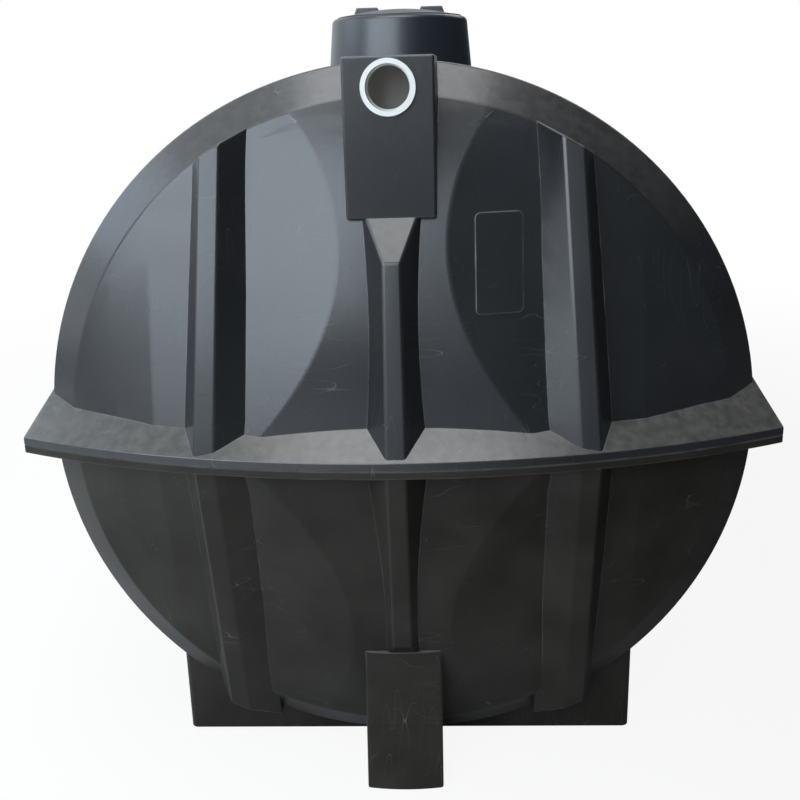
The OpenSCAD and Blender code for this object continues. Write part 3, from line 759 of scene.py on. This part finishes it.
def leg():
    """The leg, as an upper body, with a face that is bowed across and leans from foot to top."""
    bow_r = (LEG_HALF**2 + LEG_BOW**2) / (2 * LEG_BOW)
    lean = (LEG_FOOT_D - LEG_TOP_D) / LEG_H
    cuts = []
    for i in range(-LEG_FAN, LEG_FAN + 1):
        a = math.radians(LEG_STEP * i)
        out = facing(math.sin(a), math.cos(a), -lean * math.cos(a))
        depth = LEG_FOOT_D - bow_r * (1 - math.cos(a))
        cuts.append((local(bow_r * math.sin(a), depth, SEAM), out))
    low = local(-LEG_HALF, 1.1 * LEG_FOOT_D, SEAM - LEG_H)
    return softened(carve(block(low, local(LEG_HALF, -LEG_ROOT, SEAM)), cuts), EDGE)


def saddle():
    """The back saddle, with its upright edges rounded more than the others."""
    low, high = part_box("back_saddle")
    bm = block(low, (high.x, high.y, low.z + SADDLE_H))
    softened(bm, 20 * MM, segments=4, chosen=upright)
    return softened(bm, 4 * MM, sharp=math.radians(60))


feet = both_ends(leg(), True) + both_ends(saddle())
print("feet:", [len(bm.faces) for bm in feet], "faces")

# %% [markdown]
# ## Joining the bodies
# The mould made each half in one go. Bodies that only overlap would leave their hidden
# insides in the mesh, so Boolean modifiers join them into one skin. The edges where bodies
# meet are marked sharp and the rounded ones are left smooth; weighted normals then keep the
# flat panels flat.

# %% Join
def applied(obj):
    """The object with its modifiers worked into its mesh."""
    shown = obj.evaluated_get(bpy.context.evaluated_depsgraph_get())
    mesh = bpy.data.meshes.new_from_object(shown)
    old = obj.data
    obj.modifiers.clear()
    obj.data = mesh
    bpy.data.meshes.remove(old)
    return obj


def joined(name, base, added, cut):
    """One skin from the base body and those added to it, less those that cut it."""
    whole = keep(base, name)
    helpers = []
    for operation, bodies in (("UNION", added), ("DIFFERENCE", cut)):
        for i, bm in enumerate(bodies):
            helper = keep(bm, f"{name}_{operation.lower()}_{i}")
            helpers.append(helper)
            join = whole.modifiers.new(helper.name, "BOOLEAN")
            join.operation, join.solver, join.object = operation, "EXACT", helper
    applied(whole)
    for helper in helpers:
        bpy.data.meshes.remove(helper.data)
    return whole


def shaded(obj):
    """Marks the edges where bodies meet as sharp, smooths the rest and weighs the normals."""
    hollow, crest = math.radians(14), math.radians(50)  # the sharpest turns that stay smooth
    bm = bmesh.new()
    bm.from_mesh(obj.data)
    bmesh.ops.remove_doubles(bm, verts=bm.verts, dist=0.05 * MM)
    for f in bm.faces:
        f.smooth = True
    for e in bm.edges:
        if len(e.link_faces) == 2:
            e.smooth = -hollow < e.calc_face_angle_signed() < crest
    loose = sum(len(e.link_faces) != 2 for e in bm.edges)
    bm.to_mesh(obj.data)
    bm.free()
    weigh = obj.modifiers.new("flat", "WEIGHTED_NORMAL")
    weigh.keep_sharp = True
    applied(obj)
    print(f"{obj.name}: {len(obj.data.polygons)} faces, {loose} open edges")
    return obj


# %% [markdown]
# ## The two mouldings
# The upper one takes the apron, the ribs and the pads, and a bare raised plate on one of its
# panels. The chamber, the pads' hollows, the holes for the pipes and the manhole are cut
# last. The lower one takes the lip, the ribs and the feet.

# %% Plate
PLATE_X, PLATE_H, PLATE_T = (210 * MM, 333 * MM), (372 * MM, 622 * MM), 4 * MM


def plate():
    """The raised plate, with round corners, that lies on the right inner side panel."""
    corner_r = 14 * MM
    away = facing(math.tan(INNER_TURN), 1, math.tan(BATTER)).normalized()
    (left, right), (low, high) = PLATE_X, PLATE_H
    bm = block(local(left, END_D, low), local(right, 60 * MM, high))
    along = lambda edge: abs(edge.verts[0].co.y - edge.verts[1].co.y) > 0.1
    softened(bm, corner_r, segments=4, chosen=along)
    carve(bm, [(local(0, CREASE, 0) + PLATE_T * away, away)])
    return softened(bm, 1.5 * MM, sharp=math.radians(60))


# %% Hollows
END_GAP, BARREL_GAP = 70 * MM, 2 * MM  # the chamber ends this far inside, and is this much wider
PIPE_HOLE_R, PAD_WALL = 67.3 * MM, 10 * MM
MANHOLE_R, MANHOLE_LOW, MANHOLE_HIGH = 231 * MM, 1.8, 2.1  # it goes through the crown
INLET_Z = sum(corner.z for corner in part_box("inlet_socket")) / 2
OUTLET_Z = sum(corner.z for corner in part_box("outlet_socket")) / 2


def cylinder(radius, low, high, axis, steps=96):
    bm = bmesh.new()
    bmesh.ops.create_cone(bm, cap_ends=True, segments=steps, radius1=radius, radius2=radius,
                          depth=high - low)
    bmesh.ops.translate(bm, vec=(0, 0, (low + high) / 2), verts=bm.verts)
    if axis == "y":
        bmesh.ops.rotate(bm, matrix=Matrix.Rotation(-math.pi / 2, 3, "X"), verts=bm.verts)
    return bm


def chamber():
    """The hollow of the barrel."""
    bm = cylinder(RIM_IN + BARREL_GAP, -HALF + END_GAP, HALF - END_GAP, "y")
    bmesh.ops.translate(bm, vec=(0, 0, SEAM), verts=bm.verts)
    return bm


def pipe_hole(z, end):
    """The hole for a pipe in the pad of one end, -1 for the front and 1 for the back."""
    low, high = sorted((end * HALF, end * (HALF + 1.1 * PAD_D)))
    bm = cylinder(PIPE_HOLE_R, low, high, "y", 64)
    bmesh.ops.translate(bm, vec=(0, 0, z), verts=bm.verts)
    return bm


def half_shell(low):
    """The shell on one side of the seam, cut a little away from it, inside the flange."""
    way = -1 if low else 1
    return carve(whole_shell.copy(), [((0, 0, SEAM + way * ABOVE), (0, 0, -way))])


# %% Upper moulding
parts = [upper_flange, plate()] + both_ends(upper_middle_rib) + both_ends(pad(0))
for rib in both_sides(upper_side_rib):
    parts += both_ends(rib)
cuts = [chamber()] + both_ends(pad(PAD_WALL))
cuts += [pipe_hole(INLET_Z, -1), pipe_hole(OUTLET_Z, 1)]
cuts.append(cylinder(MANHOLE_R, MANHOLE_LOW, MANHOLE_HIGH, "z"))
upper = shaded(joined("upper_moulding", half_shell(False), parts, cuts))

# %% Lower moulding
legs, saddles = feet[:2], feet[2:]
parts = [lower_flange] + both_ends(lower_middle_rib, True) + legs
for rib in both_sides(lower_side_rib):
    parts += both_ends(rib, True)
lower = shaded(joined("lower_moulding", half_shell(True), parts + saddles, [chamber()]))

# %% [markdown]
# ## Neck and lid
# The neck is the short chimney that the tank is emptied through, and the lid is a low dome
# with two lugs to lift it by. Each could be a stack of cylinders. Spinning the outline of one
# side round an upright axis gives the wall, the shoulder and the dome at once.

# %% Neck
NECK_LINE = [(243, 1950), (243, 2001), (226, 2180), (200, 2180),
             (200, 2160), (214, 2130), (231, 2001), (231, 1950)]  # radius and height in mm
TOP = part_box("neck")[1].z


def spun(bm):
    """Turns an outline a full circle round the upright axis, and closes it where it ends."""
    bmesh.ops.spin(bm, geom=everything(bm), cent=(0, 0, 0), axis=(0, 0, 1),
                   angle=2 * math.pi, steps=96, use_merge=True, use_duplicate=False)
    bmesh.ops.remove_doubles(bm, verts=bm.verts, dist=1e-5)
    start = [f for f in bm.faces if all(len(e.link_faces) > 2 for e in f.edges)]
    bmesh.ops.delete(bm, geom=start, context="FACES_ONLY")
    bmesh.ops.recalc_face_normals(bm, faces=bm.faces)
    for f in bm.faces:
        f.smooth = True
    return bm


bm = bmesh.new()
face = bm.faces.new([bm.verts.new((r * MM, 0, z * MM)) for r, z in NECK_LINE])
shoulder = [v for v in face.verts if v.co.x > 220 * MM and v.co.z > TOP - MM]
bmesh.ops.bevel(bm, geom=shoulder, affect="VERTICES", offset=16 * MM, segments=6, profile=0.5,
                material=-1)
neck = keep(spun(bm), "neck_ring")
print("neck:", len(neck.data.polygons), "faces")

# %% Lid
LID_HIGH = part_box("lid")[1]
LID_EDGE_R, LID_R, LID_RISE, LUG_H = LID_HIGH.x, 196 * MM, 28 * MM, LID_HIGH.z - TOP
LID_T, SPIGOT_R, SPIGOT_H = 4 * MM, 198 * MM, 20 * MM  # its edge, and the rim inside the neck


def lid_dome():
    """The edge that rests on the neck and the low dome on it, turned as one."""
    cap = LID_RISE - LID_T
    dome_r = (LID_R**2 + cap**2) / (2 * cap)
    rise = [math.asin(LID_R / dome_r) * i / 10 for i in range(11)]
    line = [(dome_r * math.sin(a), TOP + LID_RISE - dome_r * (1 - math.cos(a))) for a in rise]
    line += [(LID_EDGE_R, TOP + LID_T), (LID_EDGE_R, TOP), (SPIGOT_R, TOP)]
    line += [(SPIGOT_R, TOP - SPIGOT_H), (0, TOP - SPIGOT_H)]
    bm = bmesh.new()
    bm.faces.new([bm.verts.new((r, 0, z)) for r, z in line])
    return spun(bm)


def lug(side):
    """A lug to lift the lid by, which narrows upwards: foot and top are half widths."""
    foot, top, deep = 0.245 * LID_R, 0.18 * LID_R, 60 * MM
    centre = side * 0.55 * LID_R
    bm = block((centre - foot, -deep / 2, TOP), (centre + foot, deep / 2, TOP + LUG_H))
    lean = (foot - top) / LUG_H
    carve(bm, [((centre + way * foot, 0, TOP), (way, 0, lean)) for way in (-1, 1)])
    return softened(bm, 4 * MM)


dome = softened(lid_dome(), 1.5 * MM, sharp=math.radians(40))
lid = shaded(joined("lid_cap", dome, [lug(-1), lug(1)], []))

# %% [markdown]
# ## Setting the pieces in the frame
# Each made piece stands for the CAD nodes that it covers, rides on the tank's one body, and
# wears one of the finishes above; the slot of the record listed beside it is not used. The
# sockets, seals and bends keep their CAD meshes, which are right as they are.

# %% Finish
upper_nodes = ["upper_shell_left", "upper_shell_crown", "upper_shell_right"]
upper_nodes += ["inlet_pad", "outlet_pad"]
lower_nodes = ["lower_shell_left", "lower_shell_bottom", "lower_shell_right"]
for end in ("front", "back"):
    upper_nodes.append(f"{end}_end_upper")
    upper_nodes += [f"{end}_rib_upper_{s}" for s in ("left", "middle", "right")]
    lower_nodes.append(f"{end}_end_lower")
    lower_nodes += [f"{end}_rib_lower_{s}" for s in ("left", "middle", "right")]
    lower_nodes += [f"{end}_leg", f"{end}_saddle"]
for place in ("front", "back", "left", "right"):
    upper_nodes.append(f"upper_flange_{place}")
    lower_nodes.append(f"lower_flange_{place}")
for piece, nodes, paint, slot in (
    (upper, upper_nodes, black_upper, "black_pe_upper"),
    (lower, lower_nodes, black_lower, "black_pe_lower"),
    (neck, ["neck"], black_top, "black_pe_top"),
    (lid, ["lid"], black_top, "black_pe_top"),
):
    dress(piece, paint)
    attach(piece, "root")
    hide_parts(*nodes)
    print(f"{piece.name} stands for {len(nodes)} nodes")
